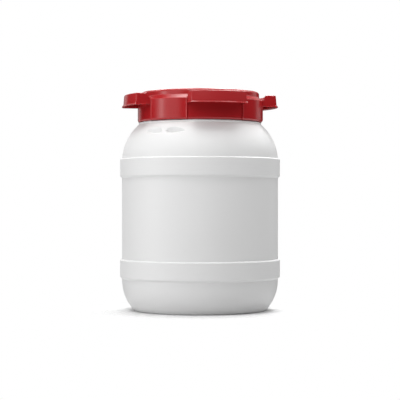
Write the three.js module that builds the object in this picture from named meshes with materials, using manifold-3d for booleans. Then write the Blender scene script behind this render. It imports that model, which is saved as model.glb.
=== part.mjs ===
// Wide-neck plastic drum: blow-moulded body, screw lid with four grip lugs, flat sealing ring.
// Millimetres, +Z up, origin at the middle of the face the drum stands on.
import * as THREE from 'three';
import { mergeVertices } from 'three/addons/utils/BufferGeometryUtils.js';
import Module from 'manifold-3d';

const wasm = await Module();
wasm.setup();

// round the drum
const segments = 48;
const wallRadius = 99;
const wallThickness = 1.7;
const bandRadius = 101.45;
const bandHeight = 21;
const bandBottoms = [42.5, 169.8];
const bandSlopeBelow = 2.6;
const bandSlopeAbove = 1.5;

// base, with a standing ring round a raised middle
const footOuter = 81.5;
const footInner = 74;
const baseRise = 6;
const baseFlat = 64;
const cornerRadius = 5;
const lowerArcRadius = 58;
const lowerArcTop = 39;

// shoulder, collar and neck
const shoulderRadius = 61.5;
const shoulderStart = 188.5;
const collarRadius = 77.9;
const collarBottom = 234.9;
const neckBase = 237.4;
const neckRadius = 72;
const boreRadius = 69.6;
const rimTop = 270;
const rimRounding = 1;

// seal eye: two pockets with upright walls and level floors, cut into the shoulder
const eyeAzimuth = 225;
const eyeSpacing = 10.4;
const eyeFloor = 221.3;
const eyeTop = 233;
const eyeRadius = 89.7;
const eyeHalfWidth = 13;
const eyeDepth = 5.2;

// screw thread, right-handed
const lead = 10;
const threadTurns = 1.5;
const neckThreadStart = 246;
const threadHeight = 3.5;
const threadTaper = 0.35;
const lidThreadDrop = 4.2;
const threadSunk = 0.6;

// lid
const lidBottom = 238;
const lidRounding = 1.6;
const lidInner = 77;
const lidBulge = 81.15;
const lidRecess = 79.1;
const ledgeBottom = 263.3;
const ledgeTop = 269;
const crownRadius = 74.9;
const crownBase = 75.3;
const crownRounding = 3;
const lidTop = 276;
const crownInner = 72.6;
const channelRoof = 273.3;
const plugOuter = 66.2;
const plugInner = 64;
const panelTop = 266.4;
const panelBottom = 263.8;
const panelRingRadius = 42;

// grip lugs, hollow from below
const lugHalfWidth = 35;
const lugRadius = 97.6;
const lugDraft = 1.3;
const lugRounding = 1.1;
const lugBottom = 257;
const lugTop = 271.8;
const lugWall = 1.9;
const lipRadius = 98.9;
const lipHeight = 1.3;
const lipSide = 0.9;
const valleyRadius = 79.5;
const valleyHeight = 265.3;
const valleyOuter = 81.3;
const valleyOuterHeight = 266.6;
const lugInnerFoot = 82.9;
const lugInnerFootHeight = 270.4;
const lugInnerTop = 83.9;

// sealing ring
const ringInner = 66.9;
const ringOuter = 72.2;
const ringBottom = 270.3;
const ringTop = 273;

const radians = THREE.MathUtils.degToRad;

function point(radius, height) {
  return new THREE.Vector2(radius, height);
}

// points on a circle in the radius-height plane, both ends included
function arc(centre, radius, fromDegrees, toDegrees, steps) {
  return Array.from({ length: steps + 1 }, (_, i) => {
    const angle = radians(fromDegrees + ((toDegrees - fromDegrees) * i) / steps);
    return point(centre.x + radius * Math.cos(angle), centre.y + radius * Math.sin(angle));
  });
}

// angle in degrees of a point seen from a circle's centre
function bearing(centre, radius, height) {
  return THREE.MathUtils.radToDeg(Math.atan2(height - centre.y, radius - centre.x));
}

// closed solid from a geometry: shared corners merged, collapsed triangles dropped
function solid(geometry) {
  const bare = geometry.clone();
  bare.deleteAttribute('normal');
  bare.deleteAttribute('uv');
  const merged = mergeVertices(bare, 1e-3);
  const corners = [];
  for (let i = 0; i < merged.index.count; i += 3) {
    const [a, b, c] = [0, 1, 2].map((k) => merged.index.getX(i + k));
    if (a !== b && b !== c && c !== a) corners.push(a, b, c);
  }
  const vertProperties = Float32Array.from(merged.attributes.position.array);
  const triVerts = Uint32Array.from(corners);
  return new wasm.Manifold(new wasm.Mesh({ numProp: 3, vertProperties, triVerts }));
}

// profile turned round the upright axis
function revolve(profile) {
  return solid(new THREE.LatheGeometry(profile, segments).rotateX(Math.PI / 2));
}

// two upright bars crossing on the axis, their arms along X and Y
function crossBars(halfWidth, low, high) {
  const length = 3 * wallRadius;
  const arm = new THREE.BoxGeometry(length, 2 * halfWidth, high - low);
  arm.translate(0, 0, (low + high) / 2);
  const alongX = solid(arm);
  return alongX.add(solid(arm.rotateZ(Math.PI / 2)));
}

// trapezoid rib extruded straight, then wrapped into a helix that fades out at both ends
function helixRib({ rootRadius, outward, start, baseHalf, crestHalf }) {
  const section = new THREE.Shape([
    point(-baseHalf, -threadSunk),
    point(baseHalf, -threadSunk),
    point(crestHalf, threadHeight),
    point(-crestHalf, threadHeight),
  ]);
  const sweep = threadTurns * 2 * Math.PI;
  const steps = Math.round(threadTurns * segments);
  const rib = new THREE.ExtrudeGeometry(section, { depth: sweep, steps, bevelEnabled: false });
  const place = rib.attributes.position;
  for (let i = 0; i < place.count; i += 1) {
    const turn = place.getZ(i);
    const fade = Math.min(1, Math.max(0.03, Math.min(turn, sweep - turn) / threadTaper));
    const rise = place.getY(i) > 0 ? place.getY(i) * fade : place.getY(i);
    const radius = rootRadius + outward * rise;
    const height = start + (lead * turn) / (2 * Math.PI) + outward * place.getX(i);
    place.setXYZ(i, radius * Math.cos(turn), radius * Math.sin(turn), height);
  }
  return solid(rib);
}

// one raised band, its points listed upwards
function bandProfile(bottom, wall, face) {
  const top = bottom + bandHeight;
  return [
    point(wall, bottom - bandSlopeBelow),
    point(face, bottom),
    point(face, top),
    point(wall, top + bandSlopeAbove),
  ];
}

// drum seen from outside, from the axis under the base to the axis over the neck
function outerProfile() {
  const lower = point(wallRadius - lowerArcRadius, lowerArcTop);
  const corner = point(footOuter, cornerRadius);
  const join = bearing(lower, corner.x, corner.y);
  const shoulder = point(wallRadius - shoulderRadius, shoulderStart);
  const shoulderFrom = bearing(shoulder, bandRadius, bandBottoms[1] + bandHeight + 5);
  const shoulderTo = THREE.MathUtils.radToDeg(
    Math.asin((collarBottom - shoulderStart) / shoulderRadius),
  );
  return [
    point(0, baseRise),
    point(baseFlat, baseRise),
    point((baseFlat + footInner) / 2, baseRise / 2),
    point(footInner, 0),
    ...arc(corner, cornerRadius, -90, join, 3),
    ...arc(lower, lowerArcRadius, join + 6, -3, 5),
    ...bandProfile(bandBottoms[0], wallRadius, bandRadius),
    ...bandProfile(bandBottoms[1], wallRadius, bandRadius),
    ...arc(shoulder, shoulderRadius, shoulderFrom, shoulderTo, 9),
    point(collarRadius, collarBottom),
    point(collarRadius, neckBase),
    point(neckRadius, neckBase),
    point(neckRadius, rimTop - rimRounding),
    point(neckRadius - rimRounding, rimTop),
    point(0, rimTop),
  ];
}

// hollow of the drum, from the axis over the base to the axis above the mouth
function innerProfile() {
  const lower = point(wallRadius - lowerArcRadius, lowerArcTop);
  const shoulder = point(wallRadius - shoulderRadius, shoulderStart);
  const inside = wallRadius - wallThickness;
  const bandInside = bandRadius - wallThickness;
  const floor = baseRise + wallThickness;
  return [
    point(0, floor),
    point(baseFlat + 1, floor),
    point(footInner + 1, wallThickness + 0.4),
    point(footOuter - 0.5, wallThickness + 0.4),
    ...arc(lower, lowerArcRadius - wallThickness, -35, -3, 5),
    ...bandProfile(bandBottoms[0], inside, bandInside),
    ...bandProfile(bandBottoms[1], inside, bandInside),
    ...arc(shoulder, shoulderRadius - wallThickness, 8, 46, 6),
    point(neckRadius, collarBottom - 1.6),
    point(boreRadius, neckBase - 1),
    point(boreRadius, rimTop + 1),
    point(0, rimTop + 1),
  ];
}

// cutter for the two pockets of the seal eye, grown by a margin all round
function sealEye(margin) {
  const low = eyeFloor - margin;
  const pockets = [-1, 1].map((side) => {
    const pocket = new THREE.CylinderGeometry(1, 1, eyeTop - low, 28).rotateX(Math.PI / 2);
    pocket.scale(eyeDepth + margin, eyeHalfWidth + margin, 1);
    pocket.translate(eyeRadius, 0, (eyeTop + low) / 2);
    pocket.rotateZ(radians(eyeAzimuth + side * eyeSpacing));
    return solid(pocket);
  });
  return pockets[0].add(pockets[1]);
}

function drumBody() {
  const outside = revolve(outerProfile()).subtract(sealEye(0));
  const hollow = revolve(innerProfile()).subtract(sealEye(wallThickness));
  const thread = helixRib({
    rootRadius: neckRadius,
    outward: 1,
    start: neckThreadStart,
    baseHalf: 2,
    crestHalf: 1,
  });
  return outside.add(thread).subtract(hollow);
}

// lid without its lugs: dished panel, plug wall, sealing channel, crown and skirt
function lidProfile() {
  return [
    point(0, panelBottom),
    point(plugOuter - 1, panelBottom),
    point(plugOuter, panelBottom + 1),
    point(plugOuter, channelRoof),
    point(crownInner, channelRoof),
    point(crownInner, ledgeTop - 1.8),
    point(lidInner, ledgeBottom - 1.3),
    point(lidInner, lidBottom + 0.6),
    point(lidInner + 0.6, lidBottom),
    ...arc(point(lidBulge - lidRounding, lidBottom + lidRounding), lidRounding, -90, 0, 2),
    point(lidBulge, ledgeBottom),
    point(crownBase, ledgeTop),
    ...arc(point(crownRadius - crownRounding, lidTop - crownRounding), crownRounding, 0, 90, 4),
    point(plugInner + 1.2, lidTop),
    point(plugInner, panelTop),
    point(panelRingRadius + 2, panelTop),
    point(panelRingRadius + 1, panelTop + 0.8),
    point(panelRingRadius - 1, panelTop + 0.8),
    point(panelRingRadius - 2, panelTop),
    point(0, panelTop),
  ];
}

// ring whose four arcs become the lugs, with the sloped inner side of the valley
function lugProfile() {
  return [
    point(lidRecess - 1, lugBottom),
    point(lugRadius, lugBottom),
    point(lugRadius - lugDraft, lugTop - lugRounding),
    point(lugRadius - lugDraft - lugRounding, lugTop),
    point(lugInnerTop, lugTop),
    point(lugInnerFoot, lugInnerFootHeight),
    point(valleyOuter, valleyOuterHeight),
    point(valleyRadius, valleyHeight),
    point(lidRecess - 1, ledgeBottom),
    point(lidRecess - 1, lugBottom),
  ];
}

function lipProfile() {
  return [
    point(lidRecess, lugBottom),
    point(lipRadius - 0.4, lugBottom),
    point(lipRadius, lugBottom + 0.5),
    point(lugRadius - 0.5, lugBottom + lipHeight),
    point(lidRecess, lugBottom + lipHeight),
    point(lidRecess, lugBottom),
  ];
}

// hollow under the lugs, following their walls
function pocketProfile() {
  const outer = lugRadius - lugWall;
  return [
    point(lidRecess, lugBottom - 5),
    point(outer, lugBottom - 5),
    point(outer - lugDraft, lugTop - lugWall),
    point(lugInnerTop + 1, lugTop - lugWall),
    point(valleyOuter + 1.9, valleyOuterHeight - lugWall),
    point(lidRecess, valleyHeight - lugWall),
    point(lidRecess, lugBottom - 5),
  ];
}

// flat on the skirt below each lug
function recessProfile() {
  return [
    point(lidRecess, lidBottom - 1),
    point(lidBulge + 5, lidBottom - 1),
    point(lidBulge + 5, lugBottom),
    point(lidRecess, lugBottom),
    point(lidRecess, lidBottom - 1),
  ];
}

function screwLid() {
  const shell = revolve(lidProfile());
  const recesses = revolve(recessProfile()).intersect(crossBars(lugHalfWidth, 0, lidTop));
  const lugs = revolve(lugProfile()).intersect(crossBars(lugHalfWidth, 0, lidTop));
  const lips = revolve(lipProfile()).intersect(crossBars(lugHalfWidth + lipSide, 0, lidTop));
  const pockets = revolve(pocketProfile()).intersect(crossBars(lugHalfWidth - lugWall, 0, lidTop));
  const thread = helixRib({
    rootRadius: lidInner,
    outward: -1,
    start: neckThreadStart - lidThreadDrop,
    baseHalf: 1.8,
    crestHalf: 0.9,
  });
  return shell.subtract(recesses).add(lugs).add(lips).subtract(pockets).add(thread);
}

function lidGasket() {
  return revolve([
    point(ringInner, ringBottom),
    point(ringOuter, ringBottom),
    point(ringOuter, ringTop),
    point(ringInner, ringTop),
    point(ringInner, ringBottom),
  ]);
}

// named mesh from a finished solid
function piece(name, body, material) {
  const { vertProperties, triVerts } = body.getMesh();
  const geometry = new THREE.BufferGeometry();
  geometry.setAttribute('position', new THREE.BufferAttribute(vertProperties, 3));
  geometry.setIndex(new THREE.BufferAttribute(triVerts, 1));
  geometry.computeVertexNormals();
  const mesh = new THREE.Mesh(geometry, new THREE.MeshStandardMaterial(material));
  mesh.name = name;
  return mesh;
}

const drum = new THREE.Group();
drum.add(
  piece('drum_body', drumBody(), { color: '#eceded', roughness: 0.45, metalness: 0 }),
  piece('screw_lid', screwLid(), { color: '#a81c20', roughness: 0.35, metalness: 0 }),
  piece('lid_gasket', lidGasket(), { color: '#2a2a2b', roughness: 0.8, metalness: 0 }),
);

export default drum;
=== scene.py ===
import math

import bpy
import bmesh
import numpy as np
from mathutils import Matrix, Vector


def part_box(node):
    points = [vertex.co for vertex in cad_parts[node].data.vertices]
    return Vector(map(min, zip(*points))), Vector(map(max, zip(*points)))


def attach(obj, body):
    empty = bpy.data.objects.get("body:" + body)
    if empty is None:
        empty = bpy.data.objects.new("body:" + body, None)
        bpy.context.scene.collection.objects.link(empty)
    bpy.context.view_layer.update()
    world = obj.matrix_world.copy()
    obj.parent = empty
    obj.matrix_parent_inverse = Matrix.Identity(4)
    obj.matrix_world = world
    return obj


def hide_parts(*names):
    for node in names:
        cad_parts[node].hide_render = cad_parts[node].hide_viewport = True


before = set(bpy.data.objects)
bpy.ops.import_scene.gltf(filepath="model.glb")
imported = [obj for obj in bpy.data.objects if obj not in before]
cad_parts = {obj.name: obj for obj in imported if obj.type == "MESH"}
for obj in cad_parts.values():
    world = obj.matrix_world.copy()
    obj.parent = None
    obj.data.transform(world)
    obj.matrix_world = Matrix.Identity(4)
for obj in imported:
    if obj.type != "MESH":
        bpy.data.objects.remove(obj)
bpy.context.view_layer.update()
mm = 0.001  # the sizes of the pieces are in millimetres until a mesh is made

bodyLow, bodyHigh = (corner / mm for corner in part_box("drum_body"))
lidLow, lidHigh = (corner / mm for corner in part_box("screw_lid"))
ringLow, ringHigh = (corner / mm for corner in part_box("lid_gasket"))
print("frame loaded, drum", [round(v, 1) for v in bodyHigh - bodyLow])


# corners round an arc, as roundedOutline takes them and without fillets; angles in degrees
def arc(centre, radius, start, end, steps):
    angles = np.radians(np.linspace(start, end, steps + 1))
    return [(centre[0] + radius * math.cos(a), centre[1] + radius * math.sin(a), 0) for a in angles]


# corners are (radius, height, fillet); each fillet becomes an arc that touches both sides
def roundedOutline(corners, closed=False, stepDegrees=18):
    points = [Vector(c[:2]) for c in corners]
    count = len(points)
    outline = []
    for i, here in enumerate(points):
        fillet = corners[i][2]
        if fillet <= 0 or (not closed and i in (0, count - 1)):
            outline.append(tuple(here))
            continue
        back = (points[i - 1] - here).normalized()
        ahead = (points[(i + 1) % count] - here).normalized()
        opening = back.angle(ahead)
        turn = math.pi - opening
        reach = fillet / math.tan(opening / 2)
        first, last = here + back * reach, here + ahead * reach
        centre = here + (back + ahead).normalized() * (fillet / math.sin(opening / 2))
        steps = max(2, math.ceil(math.degrees(turn) / stepDegrees))
        for k in range(steps + 1):
            share = k / steps
            a, b = first - centre, last - centre
            spoke = (math.sin((1 - share) * turn) * a + math.sin(share * turn) * b) / math.sin(turn)
            outline.append(tuple(centre + spoke))
    return np.array(outline)


# splits long steps, so that no step between the heights low and high is longer than most
def splitSteps(outline, most, low=-math.inf, high=math.inf):
    result = [outline[0]]
    for a, b in zip(outline[:-1], outline[1:]):
        inside = low < (a[1] + b[1]) / 2 < high
        parts = max(1, math.ceil(np.linalg.norm(b - a) / most)) if inside else 1
        result += [a + (b - a) * k / parts for k in range(1, parts + 1)]
    return np.array(result)


# new object from vertices in millimetres
def makeObject(name, vertices, faces):
    mesh = bpy.data.meshes.new(name)
    mesh.from_pydata((np.asarray(vertices) * mm).tolist(), [], faces)
    mesh.validate()
    mesh.update()
    made = bpy.data.objects.new(name, mesh)
    bpy.context.collection.objects.link(made)
    return made


# turns every face outward, after merging points that are closer than mergeWithin
def faceOutward(made, mergeWithin=0):
    mesh = bmesh.new()
    mesh.from_mesh(made.data)
    if mergeWithin:
        bmesh.ops.remove_doubles(mesh, verts=mesh.verts, dist=mergeWithin * mm)
    bmesh.ops.recalc_face_normals(mesh, faces=mesh.faces)
    mesh.to_mesh(made.data)
    mesh.free()


# quads between the rows of a grid whose columns run right round
def ringFaces(rows, columns):
    faces = []
    for r in range(rows - 1):
        for c in range(columns):
            d = (c + 1) % columns
            low, high = r * columns, (r + 1) * columns
            faces.append((low + c, low + d, high + d, high + c))
    return faces


# turned piece: radius and height are arrays of rows by columns, and ends on the axis are closed
def turnedObject(name, radius, height, angles):
    rows, columns = radius.shape
    x, y = radius * np.cos(angles), radius * np.sin(angles)
    vertices = np.stack([x, y, height], axis=-1).reshape(-1, 3)
    made = makeObject(name, vertices, ringFaces(rows, columns))
    faceOutward(made, mergeWithin=0.0005)
    return made


# closed band swept along stations: sections is stations by points by 3
def sweptObject(name, sections):
    stations, points, _ = sections.shape
    faces = ringFaces(stations, points)
    faces.append(tuple(range(points)))
    faces.append(tuple(reversed(range((stations - 1) * points, stations * points))))
    made = makeObject(name, sections.reshape(-1, 3), faces)
    faceOutward(made)
    return made


# 0 at or below 0, 1 at or above 1, with a soft change between
def smoothStep(value):
    t = np.clip(value, 0, 1)
    return t * t * (3 - 2 * t)


screw = {
    "lead": 10,
    "turns": 1.5,
    "rise": 3.5,
    "sunk": 0.6,
    "fade": 0.35,  # radians over which the thread grows at each end
    "fillet": 0.5,
    "steps": 260,
    "neckStart": 246,
    "lidDrop": 4.2,  # how much lower the lid's thread starts
}


# screw thread: a rounded trapezoid wrapped into a right-handed helix that fades at both ends
def threadRib(name, rootRadius, outward, start, baseHalf, crestHalf):
    sunk, rise = screw["sunk"], screw["rise"]
    section = roundedOutline([
        (-baseHalf, -sunk, 0),
        (baseHalf, -sunk, 0),
        (crestHalf, rise, screw["fillet"]),
        (-crestHalf, rise, screw["fillet"]),
    ], closed=True)
    turn = np.linspace(0, screw["turns"] * 2 * math.pi, screw["steps"])
    fade = np.sin(np.clip(np.minimum(turn, turn[-1] - turn) / screw["fade"], 0.02, 1) * math.pi / 2)
    sideways, lift = section[:, 0], section[:, 1]
    lifted = np.where(lift > 0, lift * fade[:, None], lift)
    radius = rootRadius + outward * lifted
    height = start + screw["lead"] * turn[:, None] / (2 * math.pi) + outward * sideways
    x, y = radius * np.cos(turn[:, None]), radius * np.sin(turn[:, None])
    return sweptObject(name, np.stack([x, y, height], axis=-1))


# applies an object's modifiers and joins the objects into the first one
def joinInto(whole, *others):
    for part in (whole, *others):
        graph = bpy.context.evaluated_depsgraph_get()
        applied = bpy.data.meshes.new_from_object(part.evaluated_get(graph))
        part.modifiers.clear()
        part.data = applied
    collected = bmesh.new()
    for part in (whole, *others):
        collected.from_mesh(part.data)
    collected.to_mesh(whole.data)
    collected.free()
    for part in others:
        bpy.data.objects.remove(part)
    return whole


# smooth shading that keeps sharp edges, and keeps flat faces flat right up to their rounded edges
def shadeSmooth(piece, sharpDegrees=32):
    piece.data.shade_smooth()
    piece.data.set_sharp_from_angle(angle=math.radians(sharpDegrees))
    even = piece.modifiers.new("even", "WEIGHTED_NORMAL")
    even.keep_sharp = True
    graph = bpy.context.evaluated_depsgraph_get()
    shaded = bpy.data.meshes.new_from_object(piece.evaluated_get(graph))
    piece.modifiers.clear()
    piece.data = shaded
    return piece


# a node socket that takes part in Python expressions
class Signal:
    def __init__(self, nodes, socket):
        self.nodes = nodes
        self.socket = socket

    def math(self, operation, first, second):
        return self.nodes.node("ShaderNodeMath", {"operation": operation}, {0: first, 1: second})

    def __add__(self, other):
        return self.math("ADD", self, other)

    def __radd__(self, other):
        return self.math("ADD", other, self)

    def __sub__(self, other):
        return self.math("SUBTRACT", self, other)

    def __rsub__(self, other):
        return self.math("SUBTRACT", other, self)

    def __mul__(self, other):
        return self.math("MULTIPLY", self, other)

    def __rmul__(self, other):
        return self.math("MULTIPLY", other, self)

    def __abs__(self):
        return self.math("ABSOLUTE", self, 0)


# makes the nodes of one tree
class Nodes:
    def __init__(self, tree):
        self.tree = tree

    # any node: its type, its settings, then what goes into its sockets
    def node(self, kind, settings=None, sockets=None, output=0):
        made = self.tree.nodes.new(kind)
        for name, value in (settings or {}).items():
            if name == "stops":
                self.setStops(made.color_ramp, value)
            else:
                setattr(made, name, value)
        self.fill(made, sockets or {})
        return Signal(self, made.outputs[output])

    # grey stops of a colour ramp, each a position and a lightness
    def setStops(self, ramp, stops):
        while len(ramp.elements) < len(stops):
            ramp.elements.new(1)
        for element, (position, light) in zip(ramp.elements, stops):
            element.position = position
            element.color = (light, light, light, 1)

    def fill(self, node, sockets):
        for key, value in sockets.items():
            if isinstance(value, Signal):
                self.tree.links.new(value.socket, node.inputs[key])
            else:
                node.inputs[key].default_value = value


# one material and the nodes it is made from
class Recipe(Nodes):
    def __init__(self, name):
        self.material = bpy.data.materials.new(name)
        self.material.use_nodes = True
        super().__init__(self.material.node_tree)
        self.shader = self.tree.nodes["Principled BSDF"]

    # sets the shader's sockets, with _ for a space in their names
    def surface(self, **sockets):
        self.fill(self.shader, {name.replace("_", " "): value for name, value in sockets.items()})

    def place(self):
        return self.node("ShaderNodeTexCoord", output="Object")

    def stretched(self, place, scale):
        return self.node("ShaderNodeVectorMath", {"operation": "MULTIPLY"}, {0: place, 1: scale})

    # distance from the axis
    def radius(self, place):
        flat = self.stretched(place, (1, 1, 0))
        return self.node("ShaderNodeVectorMath", {"operation": "LENGTH"}, {0: flat}, "Value")

    def noise(self, place, scale, detail=3, roughness=0.5):
        sockets = {"Vector": place, "Scale": scale, "Detail": detail, "Roughness": roughness}
        return self.node("ShaderNodeTexNoise", None, sockets)

    # 0 below low, 1 above high, with a soft change between
    def between(self, value, low, high):
        sockets = {"Value": value, "From Min": low, "From Max": high}
        return self.node("ShaderNodeMapRange", {"interpolation_type": "SMOOTHSTEP"}, sockets)

    def blend(self, share, first, second):
        sockets = {"Factor": share, "A": (*first, 1), "B": (*second, 1)}
        return self.node("ShaderNodeMix", {"data_type": "RGBA"}, sockets, output="Result")

    def bump(self, height, distance, strength=1, under=None):
        sockets = {"Height": height, "Distance": distance, "Strength": strength}
        if under:
            sockets["Normal"] = under
        return self.node("ShaderNodeBump", None, sockets)


# depths, heights and widths here are in metres, and scales are those of the noise
drumFinish = {
    "colour": (0.8, 0.8, 0.8),
    "colourWorn": (0.73, 0.73, 0.73),
    "roughness": 0.4,
    "cloudScale": 9,
    "peel": 0.00006,  # unevenness of the blown skin
    "peelScale": 700,
    "sink": 0.0006,  # slow waves drawn out along the drum
    "sinkScale": 26,
    "scratchStretch": (60, 60, 900),
    "spotScale": 340,
    "rubbedWidth": 1.2 * mm,  # how far from the bands' faces the rubbing reaches
    "seamHeight": 0.00012,
    "seamHalfWidth": 0.0005,
    "seamNormal": (math.sqrt(0.5), math.sqrt(0.5), 0),
}


# white blow-moulded polyethylene: waxy, slightly uneven, rubbed on the bands
def drumPlastic():
    recipe = Recipe("drumPlastic")
    place = recipe.place()
    clouds = recipe.noise(place, drumFinish["cloudScale"], 2)
    peel = recipe.noise(place, drumFinish["peelScale"], 2)
    pull = recipe.noise(recipe.stretched(place, (1, 1, 0.25)), drumFinish["sinkScale"], 3)
    face = bodyHigh.x * mm
    bandEdge = recipe.between(recipe.radius(place), face - drumFinish["rubbedWidth"], face)
    scratches = recipe.noise(recipe.stretched(place, drumFinish["scratchStretch"]), 1, 4, 0.7)
    rubbed = bandEdge * recipe.between(scratches, 0.5, 0.72)
    spots = recipe.between(recipe.noise(place, drumFinish["spotScale"], 2, 0.4), 0.72, 0.8)
    across = recipe.node(
        "ShaderNodeVectorMath", {"operation": "DOT_PRODUCT"},
        {0: place, 1: drumFinish["seamNormal"]}, "Value")
    seam = 1 - recipe.between(abs(across), 0, drumFinish["seamHalfWidth"])
    wear = clouds * 0.5 + rubbed * 0.25 + spots * 0.2
    shape = recipe.bump(pull, drumFinish["sink"], 0.25)
    shape = recipe.bump(seam, drumFinish["seamHeight"], 0.8, shape)
    shape = recipe.bump(peel, drumFinish["peel"], 0.5, shape)
    recipe.surface(
        Base_Color=recipe.blend(wear, drumFinish["colour"], drumFinish["colourWorn"]),
        Roughness=drumFinish["roughness"] + peel * 0.08 + rubbed * 0.12,
        Normal=shape,
        IOR=1.5,
    )
    return recipe.material


lidFinish = {
    "colour": (0.385, 0.012, 0.015),
    "colourPale": (0.42, 0.020, 0.024),
    "roughness": 0.2,
    "cloudScale": 22,
    "grain": 0.00003,
    "grainScale": 1300,
    "flow": 0.0004,  # faint waves left by the plastic as it filled the mould
    "flowScale": 38,
    "scuffStretch": (90, 90, 500),
    "rubbedWidth": 2.5 * mm,  # how far from the lugs' faces the rubbing reaches
}


# red injection-moulded polypropylene: satin, with faint flow lines and rubbed lug faces
def lidPlastic():
    recipe = Recipe("lidPlastic")
    place = recipe.place()
    grain = recipe.noise(place, lidFinish["grainScale"], 2)
    flow = recipe.noise(recipe.stretched(place, (1, 1, 3)), lidFinish["flowScale"], 4)
    clouds = recipe.noise(place, lidFinish["cloudScale"], 2)
    face = lidHigh.x * mm
    outside = recipe.between(recipe.radius(place), face - lidFinish["rubbedWidth"], face)
    scuffs = recipe.noise(recipe.stretched(place, lidFinish["scuffStretch"]), 1, 4, 0.7)
    rubbed = outside * recipe.between(scuffs, 0.52, 0.7)
    wear = clouds * 0.25 + rubbed * 0.25
    shape = recipe.bump(flow, lidFinish["flow"], 0.05)
    shape = recipe.bump(grain, lidFinish["grain"], 0.25, shape)
    recipe.surface(
        Base_Color=recipe.blend(wear, lidFinish["colour"], lidFinish["colourPale"]),
        Roughness=lidFinish["roughness"] + flow * 0.05 + rubbed * 0.08,
        Normal=shape,
        IOR=1.49,
    )
    return recipe.material


ringFinish = {
    "colour": (0.030, 0.030, 0.032),
    "dust": (0.10, 0.098, 0.095),
    "roughness": 0.62,
    "grain": 0.00008,
    "grainScale": 1800,
    "bloomScale": 120,
}


# dark sealing rubber with a chalky bloom
def ringRubber():
    recipe = Recipe("ringRubber")
    place = recipe.place()
    grain = recipe.noise(place, ringFinish["grainScale"], 3)
    bloom = recipe.between(recipe.noise(place, ringFinish["bloomScale"], 4), 0.5, 0.75)
    recipe.surface(
        Base_Color=recipe.blend(bloom * 0.35, ringFinish["colour"], ringFinish["dust"]),
        Roughness=ringFinish["roughness"] + bloom * 0.2,
        Normal=recipe.bump(grain, ringFinish["grain"], 0.6),
        IOR=1.52,
    )
    return recipe.material


# radii and heights are in millimetres here and in the pieces below
drum = {
    "wall": bodyHigh.x - 2.45,
    "thickness": 1.7,
    "bands": (42.5, 169.8),
    "bandHeight": 21,
    "slopeBelow": 2.6,
    "slopeAbove": 1.5,
    "bandFillet": 0.25,
    "baseRise": 6,
    "baseFlat": 64,
    "footInner": 74,
    "footOuter": 81.5,
    "cornerRadius": 5,
    "lowerArc": 58,
    "lowerArcTop": 39,
    "shoulderArc": 61.5,
    "shoulderStart": 188.5,
    "collarRadius": 77.9,
    "collarBottom": 234.9,
    "neckBase": 237.4,
    "neckRadius": 72,
    "bore": 69.6,
    "rimFillet": 0.9,
    "stepDegrees": 1.5,
}

# two lens-shaped pockets pressed into the shoulder, deepest next to the bridge between them
eye = {
    "azimuth": 225,
    "spacing": 10.4,  # degrees from the bridge to each pocket's middle
    "halfWidth": 8.7,  # degrees
    "floor": 220.6,
    "floorRise": 3,  # how much higher the floor ends than its lowest point
    "endRadius": 88,
    "depth": 4,
    "softness": 0.4,  # rounding where a pocket's wall meets the shoulder
    "floorBelow": 0.6,  # the floor's edge starts this much lower
    "floorEdge": 1.6,  # and is this high
    "span": 21,  # degrees either side of the bridge that have finer steps
    "stepDegrees": 0.3,
    "deepest": -0.35,  # place of the deepest point, -1 at the bridge and 1 at the far end
}


# raised band with sloped edges
def bandCorners(bottom, wall, face, fillet):
    top = bottom + drum["bandHeight"]
    return [
        (wall, bottom - drum["slopeBelow"], 1.6 * fillet),
        (face, bottom, fillet),
        (face, top, 0.8 * fillet),
        (wall, top + drum["slopeAbove"], 1.2 * fillet),
    ]


# outside of the drum, from under its base up to the neck rim and over it
def drumOutside():
    wall, face = drum["wall"], bodyHigh.x
    lower = (wall - drum["lowerArc"], drum["lowerArcTop"])
    shoulder = (wall - drum["shoulderArc"], drum["shoulderStart"])
    corner = (drum["footOuter"], drum["cornerRadius"])
    join = math.degrees(math.atan2(corner[1] - lower[1], corner[0] - lower[0]))
    topAngle = math.degrees(math.asin((drum["collarBottom"] - shoulder[1]) / drum["shoulderArc"]))
    corners = [
        (0, drum["baseRise"], 0),
        (drum["baseFlat"], drum["baseRise"], 5),
        (drum["footInner"], 0, 2),
        *arc(corner, drum["cornerRadius"], -90, join, 8),
        *arc(lower, drum["lowerArc"], join + 2, -3, 18),
        *bandCorners(drum["bands"][0], wall, face, drum["bandFillet"]),
        *bandCorners(drum["bands"][1], wall, face, drum["bandFillet"]),
        *arc(shoulder, drum["shoulderArc"], 7, topAngle, 30),
        (drum["collarRadius"], drum["neckBase"], 0.8),
        (drum["neckRadius"], drum["neckBase"], 1.2),
        (drum["neckRadius"], bodyHigh.z, drum["rimFillet"]),
        (drum["bore"], bodyHigh.z, drum["rimFillet"]),
    ]
    return roundedOutline(corners)


# inside of the drum, from the bore down to the middle of its base
def drumInside():
    thick = drum["thickness"]
    wall, face = drum["wall"] - thick, bodyHigh.x - thick
    lower = (drum["wall"] - drum["lowerArc"], drum["lowerArcTop"])
    shoulder = (drum["wall"] - drum["shoulderArc"], drum["shoulderStart"])
    floor = drum["baseRise"] + thick
    upwards = [
        (0, floor, 0),
        (drum["baseFlat"] + 1, floor, 6),
        (drum["footInner"] + 1, thick + 0.4, 3),
        (drum["footOuter"] - 0.5, thick + 0.4, 2),
        *arc(lower, drum["lowerArc"] - thick, -35, -3, 14),
        *bandCorners(drum["bands"][0], wall, face, 1.5),
        *bandCorners(drum["bands"][1], wall, face, 1.5),
        *arc(shoulder, drum["shoulderArc"] - thick, 8, 46, 22),
        (drum["neckRadius"], drum["collarBottom"] - 1.6, 4),
        (drum["bore"], drum["neckBase"] - 1, 4),
        (drum["bore"], bodyHigh.z - drum["rimFillet"], 0),
    ]
    return roundedOutline(upwards)[::-1]


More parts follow.
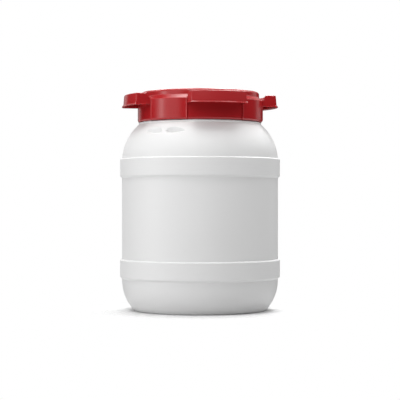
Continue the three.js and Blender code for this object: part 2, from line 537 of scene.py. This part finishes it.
# how deep the pockets are at each angle, 1 at their deepest and 0 beyond their ends
def eyeShare(degrees):
    share = np.zeros_like(degrees)
    peak = eye["deepest"]
    for side in (-1, 1):
        along = (side * (degrees - eye["azimuth"]) - eye["spacing"]) / eye["halfWidth"]
        nearBridge = np.sqrt(np.clip(1 - ((along - peak) / (1 + peak)) ** 2, 0, 1))
        farEnd = np.clip(1 - ((along - peak) / (1 - peak)) ** 2, 0, 1)
        share = np.maximum(share, np.where(along < peak, nearBridge, farEnd))
    return share


# presses the pockets into rows of a shoulder surface that lies inset from the outside
def pressEye(radius, height, degrees, inset):
    share = eyeShare(degrees)
    wall = eye["endRadius"] - eye["depth"] * share - inset
    floor = eye["floor"] + eye["floorRise"] * (1 - share) - inset
    depth = np.clip(radius - wall, 0, None)
    pressed = np.sqrt(depth ** 2 + eye["softness"] ** 2) - eye["softness"]
    above = smoothStep((height - floor + eye["floorBelow"]) / eye["floorEdge"])
    inPocket = (share > 0) & (height < drum["collarBottom"] - inset)
    return np.where(inPocket, radius - pressed * above, radius)


# drum with its outside, inside and neck thread
def makeDrum():
    coarse = np.arange(0, 360, drum["stepDegrees"])
    fine = np.arange(eye["azimuth"] - eye["span"], eye["azimuth"] + eye["span"], eye["stepDegrees"])
    plain = np.abs(coarse - eye["azimuth"]) > eye["span"] + 0.5
    degrees = np.sort(np.concatenate([coarse[plain], fine]))
    floor = eye["floor"]
    # rows are finest at the pockets' floors and fine over the rest of the pockets
    outside = splitSteps(drumOutside(), 0.3, floor - 1.5, floor + 2)
    outside = splitSteps(outside, 0.6, floor - 1.5, floor + 9)
    inside = splitSteps(drumInside(), 0.8, floor - 4, floor + 8)
    grids = []
    for outline, inset in ((outside, 0), (inside, drum["thickness"])):
        radius = np.repeat(outline[:, :1], len(degrees), axis=1)
        height = np.repeat(outline[:, 1:], len(degrees), axis=1)
        grids.append((pressEye(radius, height, degrees, inset), height))
    radius = np.concatenate([grid[0] for grid in grids])
    height = np.concatenate([grid[1] for grid in grids])
    shell = turnedObject("drumShell", radius, height, np.radians(degrees))
    neckThread = threadRib("neckThread", drum["neckRadius"], 1, screw["neckStart"], 2, 1)
    return shadeSmooth(joinInto(shell, neckThread))


lid = {
    "inner": 77,
    "bulge": 80.5,
    "recess": 79.1,
    "taper": 1.1,
    "taperHeight": 2,
    "ledgeBottom": 264,
    "ledgeTop": 269,
    "ledgeFillet": 0.8,
    "crown": 74.9,
    "crownBase": 75.3,
    "crownFillet": 3,
    "crownInner": 72.6,
    "channelRoof": 273.3,
    "plugOuter": 66.2,
    "plugInner": 64,
    "panelTop": 266.4,
    "panelBottom": 263.8,
    "ringRadius": 42,
    "gateRadius": 3,
    "beadHeight": 0.35,  # bead down each edge of the skirt's flats
    "beadWidth": 1.1,
    "stepDegrees": 1.4,
}

lug = {
    "halfWidth": 35,
    "steps": 29,
    "radius": 97.6,
    "draft": 1.3,
    "bottom": 257,
    "top": 271.8,
    "wall": 1.9,
    "valley": ((83.9, 271.8), (82.9, 270.2), (81.3, 266.6), (79.5, 265.3)),
    "rounding": 1.3,
    "lipOut": 1.6,
    "lipSide": 0.9,
    "lipHeight": 2,
    "lipSteps": 33,
}


# lid without lugs, for one outer skirt radius, from the middle of its underside round to its top
def lidOutline(skirt):
    bottom, top = lidLow.z, lidHigh.z
    slope = (lid["ledgeTop"] - lid["ledgeBottom"]) / (lid["bulge"] - lid["crownBase"])
    ledge = lid["ledgeBottom"] + (lid["bulge"] - skirt) * slope
    rib, panel = lid["ringRadius"], lid["panelTop"]
    corners = [
        (0, lid["panelBottom"], 0),
        (lid["plugOuter"], lid["panelBottom"], 0.9),
        (lid["plugOuter"], lid["channelRoof"], 0.5),
        (lid["crownInner"], lid["channelRoof"], 0.5),
        (lid["crownInner"], lid["ledgeTop"] - 1.8, 1.5),
        (lid["inner"], lid["ledgeBottom"] - 1.3, 1.5),
        (lid["inner"], bottom, 0.5),
        (skirt - lid["taper"], bottom, 0.5),
        (skirt, bottom + lid["taperHeight"], 2),
        (skirt, ledge, lid["ledgeFillet"]),
        (lid["crownBase"], lid["ledgeTop"], 0.6),
        (lid["crown"], top, lid["crownFillet"]),
        (lid["plugInner"] + 1.2, top, 0.9),
        (lid["plugInner"], panel, 1.2),
        (rib + 2.2, panel, 0.6),
        (rib + 1.2, panel + 0.8, 0.3),
        (rib - 1.2, panel + 0.8, 0.3),
        (rib - 2.2, panel, 0.6),
        (lid["gateRadius"] + 5, panel, 2),
        (lid["gateRadius"] + 3, panel - 0.8, 1),
        (lid["gateRadius"], panel - 0.8, 0.3),
        (lid["gateRadius"] - 0.5, panel + 0.2, 0.3),
        (0, panel + 0.2, 0),
    ]
    return roundedOutline(corners, stepDegrees=15)


# skirt radius across one flat's edge: the flat, an upright step with a bead, then the full skirt
def flatEdge():
    flat, full = lid["recess"], lid["bulge"]
    bead, wide = full + lid["beadHeight"], lid["beadWidth"]
    return roundedOutline([
        (-1.5, flat, 0),
        (-0.12, flat, 0.25),
        (0.12, bead, 0.4),
        (wide, bead, 0.6),
        (wide + 0.7, full, 0.5),
        (wide + 2, full, 0),
    ], stepDegrees=15)


# skirt with its four flats, crown, dished panel, plug wall and sealing channel
def lidShell():
    edge = math.degrees(math.asin(lug["halfWidth"] / lid["bulge"]))
    step = flatEdge()
    bearings = edge + np.degrees(step[:, 0] / lid["bulge"])
    acrossFlat = np.arange(-edge + 2, edge - 1.5, lid["stepDegrees"])
    acrossBulge = np.arange(edge + 3.5, 87 - edge, lid["stepDegrees"])
    quarter = np.concatenate([bearings, -bearings, acrossFlat, acrossBulge])
    skirts = np.concatenate([
        step[:, 1], step[:, 1],
        np.full(len(acrossFlat), lid["recess"]),
        np.full(len(acrossBulge), lid["bulge"]),
    ])
    order = np.argsort(quarter)
    quarter, skirts = quarter[order], skirts[order]
    degrees = np.concatenate([quarter + 90 * k for k in range(4)])
    share = np.tile((skirts - lid["recess"]) / (lid["bulge"] - lid["recess"]), 4)
    flat, full = lidOutline(lid["recess"]), lidOutline(lid["bulge"])
    radius = flat[:, :1] + (full[:, :1] - flat[:, :1]) * share
    height = flat[:, 1:] + (full[:, 1:] - flat[:, 1:]) * np.clip(share, 0, 1)
    return turnedObject("lidShell", radius, height, np.radians(degrees))


# point of a lug: share runs from -1 to 1 across a width, radius and height are in section
def lugPoint(share, width, radius, height):
    bearing = share * math.asin(width / radius)
    return (radius * math.cos(bearing), radius * math.sin(bearing), height)


# hollow lug on +X: roof and outer wall swept across, with a flat wall closing each end
def lugShell():
    bottom, top, wall = lug["bottom"], lug["top"], lug["wall"]
    sunk = lid["recess"] - 1
    faceTop = lug["radius"] - lug["draft"]
    valley = lug["valley"]
    skin = [
        (lug["radius"], bottom),
        (faceTop, top),
        *valley,
        (sunk, valley[-1][1] - 1.2),
    ]
    pocket = [
        (lug["radius"] - wall, bottom),
        (faceTop - wall, top - wall),
        (valley[0][0] + 1, top - wall),
        (valley[2][0] + wall, valley[2][1] - wall),
        (sunk, valley[-1][1] - wall - 1),
    ]
    foot = (sunk, bottom)
    full, hollow = lug["halfWidth"], lug["halfWidth"] - wall
    shares = np.linspace(-1, 1, lug["steps"])
    vertices, faces = [], []

    def addPoints(share, width, section):
        start = len(vertices)
        vertices.extend(lugPoint(share, width, *spot) for spot in section)
        return list(range(start, len(vertices)))

    columns = [addPoints(share, hollow, skin) for share in shares]
    pockets = [addPoints(share, hollow, pocket) for share in shares]
    for i in range(len(shares) - 1):
        a, b, p, q = columns[i], columns[i + 1], pockets[i], pockets[i + 1]
        faces += [(a[k], b[k], b[k + 1], a[k + 1]) for k in range(len(skin) - 1)]
        faces += [(p[k], p[k + 1], q[k + 1], q[k]) for k in range(len(pocket) - 1)]
        faces += [(a[0], p[0], q[0], b[0]), (a[-1], b[-1], q[-1], p[-1])]
    for share, i in ((-1, 0), (1, -1)):
        inner, pit = columns[i], pockets[i]
        outer = addPoints(share, full, skin)
        footIn, footOut = addPoints(share, hollow, [foot]) + addPoints(share, full, [foot])
        faces += [(inner[k], inner[k + 1], outer[k + 1], outer[k]) for k in range(len(skin) - 1)]
        faces.append((*outer, footOut))
        faces.append((*pit, footIn))
        faces.append((footIn, pit[0], inner[0], outer[0], footOut))
        faces.append((footIn, footOut, outer[-1], inner[-1], pit[-1]))
    made = makeObject("lugShell", vertices, faces)
    faceOutward(made)
    rounding = made.modifiers.new("rounding", "BEVEL")
    rounding.width = lug["rounding"] * mm
    rounding.segments = 3
    rounding.limit_method = "ANGLE"
    rounding.angle_limit = math.radians(30)
    rounding.use_clamp_overlap = False
    return made


# lip round a lug's lower edge: out along one end, across the face and back along the other
def lugLip():
    half, radius = lug["halfWidth"], lug["radius"]
    sweep = math.asin(half / radius)
    corner = radius * math.cos(sweep)
    degrees = math.degrees(sweep)
    face = arc((0, 0), radius, -degrees, degrees, lug["lipSteps"] - 1)
    inEnd = lid["recess"] - 1.5
    path = roundedOutline([
        (inEnd, -half, 0),
        (corner, -half, 1),
        *face[1:-1],
        (corner, half, 1),
        (inEnd, half, 0),
    ])
    ahead = np.gradient(path, axis=0)
    ahead /= np.linalg.norm(ahead, axis=1)[:, None]
    outward = np.stack([ahead[:, 1], -ahead[:, 0]], axis=1)
    onFace = smoothStep((np.linalg.norm(path, axis=1) - radius + 1.2) / 1.2)
    out = lug["lipSide"] + (lug["lipOut"] - lug["lipSide"]) * onFace
    section = roundedOutline([
        (-0.6, 0, 0),
        (1, 0, 0.2),
        (1, 0.2 * lug["lipHeight"], 0.2),
        (0.45, 0.9 * lug["lipHeight"], 0.2),
        (-0.6, lug["lipHeight"], 0),
    ], closed=True)
    across = np.where(section[:, 0] > 0, section[:, 0] * out[:, None], section[:, 0])
    x = path[:, :1] + outward[:, :1] * across
    y = path[:, 1:] + outward[:, 1:] * across
    z = np.broadcast_to(lug["bottom"] + section[:, 1], x.shape)
    return sweptObject("lugLip", np.stack([x, y, z], axis=-1))


# lid with its four lugs, their lips and the inner thread
def makeLid():
    parts = []
    for turn in range(4):
        for made in (lugShell(), lugLip()):
            made.rotation_euler.z = turn * math.pi / 2
            bpy.context.view_layer.update()
            made.data.transform(made.matrix_world)
            made.rotation_euler.z = 0
            parts.append(made)
    start = screw["neckStart"] - screw["lidDrop"]
    parts.append(threadRib("lidThread", lid["inner"], -1, start, 1.8, 0.9))
    return shadeSmooth(joinInto(lidShell(), *parts))


ring = {
    "width": 5.3,
    "fillet": 0.5,
    "grooveHalf": 1,  # half width of the groove in the ring's underside
    "grooveFloor": 0.7,  # half width of its floor
    "grooveDepth": 0.3,
    "steps": 180,
}


# flat sealing ring with a shallow groove in its underside
def makeRing():
    inner, outer = ringHigh.x - ring["width"], ringHigh.x
    low, high = ringLow.z, ringHigh.z
    middle = (inner + outer) / 2
    half, floor = ring["grooveHalf"], ring["grooveFloor"]
    section = roundedOutline([
        (inner, low, ring["fillet"]),
        (middle - half, low, 0.2),
        (middle - floor, low + ring["grooveDepth"], 0.1),
        (middle + floor, low + ring["grooveDepth"], 0.1),
        (middle + half, low, 0.2),
        (outer, low, ring["fillet"]),
        (outer, high, ring["fillet"]),
        (inner, high, ring["fillet"]),
    ], closed=True)
    angles = np.linspace(0, 2 * math.pi, ring["steps"], endpoint=False)
    rows = np.concatenate([section, section[:1]])
    radius = np.repeat(rows[:, :1], len(angles), axis=1)
    height = np.repeat(rows[:, 1:], len(angles), axis=1)
    return shadeSmooth(turnedObject("sealRing", radius, height, angles))


# gives a piece its finish, hangs it on the body that carries it, and hides the CAD node it stands in for
def finishPiece(piece, name, material, body, node):
    piece.name = name
    piece.data.materials.clear()
    piece.data.materials.append(material)
    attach(piece, body)
    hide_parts(node)
    print(name, "has", len(piece.data.polygons), "faces")


finishPiece(makeDrum(), "drumBlown", drumPlastic(), "drum", "drum_body")
finishPiece(makeLid(), "lidMoulded", lidPlastic(), "lid", "screw_lid")
finishPiece(makeRing(), "sealRing", ringRubber(), "gasket_carrier", "lid_gasket")

studio = {
    "cameraAzimuth": -14.8,  # degrees, with 0 looking along +Y
    "cameraDistance": 1.68,
    "cameraHeight": 0.1362,
    "lens": 118.8,
    "sensorWidth": 36,
    "shiftUp": 0.0068,
    "floorSolid": 0.083,  # the floor sheet is solid out to here
    "floorRadius": 0.15,  # and has faded into the white backdrop here
    "floorColour": (0.66, 0.66, 0.66, 1),
    "floorSteps": 96,
    "lampDistance": 1.8,
    "glowStrength": 1.2,
    # light from the backdrop: stops of (0 straight up to 1 straight down, share of the strength)
    "glow": ((0.15, 0), (0.275, 0.4), (0.35, 0.4), (0.425, 0), (0.6, 0),
             (0.675, 1), (0.75, 1), (0.85, 0.7)),
}

# azimuth and elevation in degrees, azimuth from the camera's side with left negative;
# width and height in metres, power in watts
lamps = {
    "overheadFront": (0, 78, 2.4, 0.35, 12),
    "overheadBack": (180, 78, 2.4, 0.35, 9),
    "left": (-60, 6, 1.6, 1.2, 6),
    "leftStrip": (-72, 8, 0.26, 1.2, 3),
    "leftLow": (-150, 6, 0.6, 0.9, 1),
    "rightLow": (130, 6, 0.6, 0.9, 1),
    "leftBack": (-110, 38, 0.9, 0.8, 2),
    "frontLeft": (-35, 38, 0.9, 0.8, 4),
    "front": (0, 38, 0.9, 0.8, 6),
    "right": (75, 38, 0.9, 0.8, 2),
    "rightBack": (110, 38, 0.9, 0.8, 6),
    "overFront": (-30, 64, 0.4, 0.4, 6),
    "overBack": (150, 64, 0.5, 0.5, 16),
    "overLeft": (-130, 77, 0.45, 0.45, 4),
    "backHigh": (180, 43, 1.2, 0.5, 20),
}


# unit vector from the drum toward an azimuth and elevation
def direction(azimuth, elevation):
    a, e = math.radians(azimuth), math.radians(elevation)
    return Vector((math.sin(a) * math.cos(e), -math.cos(a) * math.cos(e), math.sin(e)))


def makeCamera():
    data = bpy.data.cameras.new("camera")
    data.lens = studio["lens"]
    data.sensor_width = studio["sensorWidth"]
    data.shift_y = studio["shiftUp"]
    camera = bpy.data.objects.new("camera", data)
    back = direction(studio["cameraAzimuth"], 0)
    camera.location = back * studio["cameraDistance"] + Vector((0, 0, studio["cameraHeight"]))
    camera.rotation_euler = back.to_track_quat("Z", "Y").to_euler()
    bpy.context.collection.objects.link(camera)
    bpy.context.scene.camera = camera


# round sheet under the drum, lying at height 0
def makeFloor():
    corners = arc((0, 0), studio["floorRadius"] / mm, 0, 360, studio["floorSteps"])[:-1]
    floor = makeObject("floor", corners, [tuple(range(len(corners)))])
    recipe = Recipe("floorPaper")
    reach = recipe.radius(recipe.place())
    fade = recipe.between(reach, studio["floorSolid"], studio["floorRadius"])
    recipe.surface(Base_Color=studio["floorColour"], Roughness=0.9, Alpha=1 - fade)
    floor.data.materials.append(recipe.material)


# soft boxes round the drum's middle, unseen by the camera
def makeLamps():
    middle = Vector((0, 0, (bodyHigh.z / 2) * mm))
    for name, (azimuth, elevation, width, height, power) in lamps.items():
        data = bpy.data.lights.new(name, "AREA")
        data.shape = "RECTANGLE"
        data.size, data.size_y = width, height
        data.energy = power
        made = bpy.data.objects.new(name, data)
        made.visible_camera = False
        back = direction(studio["cameraAzimuth"] + azimuth, elevation)
        made.location = middle + back * studio["lampDistance"]
        made.rotation_euler = back.to_track_quat("Z", "Y").to_euler()
        bpy.context.collection.objects.link(made)


# the backdrop is seen plain white, and gives light in soft bands above and below the horizon
def makeWorld():
    world = bpy.data.worlds.new("studio")
    world.use_nodes = True
    world.node_tree.nodes.clear()
    nodes = Nodes(world.node_tree)
    place = nodes.node("ShaderNodeTexCoord", output="Generated")
    height = nodes.node("ShaderNodeSeparateXYZ", None, {0: place}, "Z")
    bands = nodes.node("ShaderNodeValToRGB", {"stops": studio["glow"]}, {0: 0.5 - height * 0.5})
    glow = nodes.node("ShaderNodeBackground", None, {"Color": bands, "Strength": studio["glowStrength"]})
    seen = nodes.node("ShaderNodeBackground", None, {"Color": (1, 1, 1, 1)})
    cameraRay = nodes.node("ShaderNodeLightPath", output="Is Camera Ray")
    shown = nodes.node("ShaderNodeMixShader", None, {0: cameraRay, 1: glow, 2: seen})
    nodes.fill(world.node_tree.nodes.new("ShaderNodeOutputWorld"), {"Surface": shown})
    bpy.context.scene.world = world


makeCamera()
makeFloor()
makeLamps()
makeWorld()
bpy.context.scene.view_settings.view_transform = "Standard"
print("studio ready")
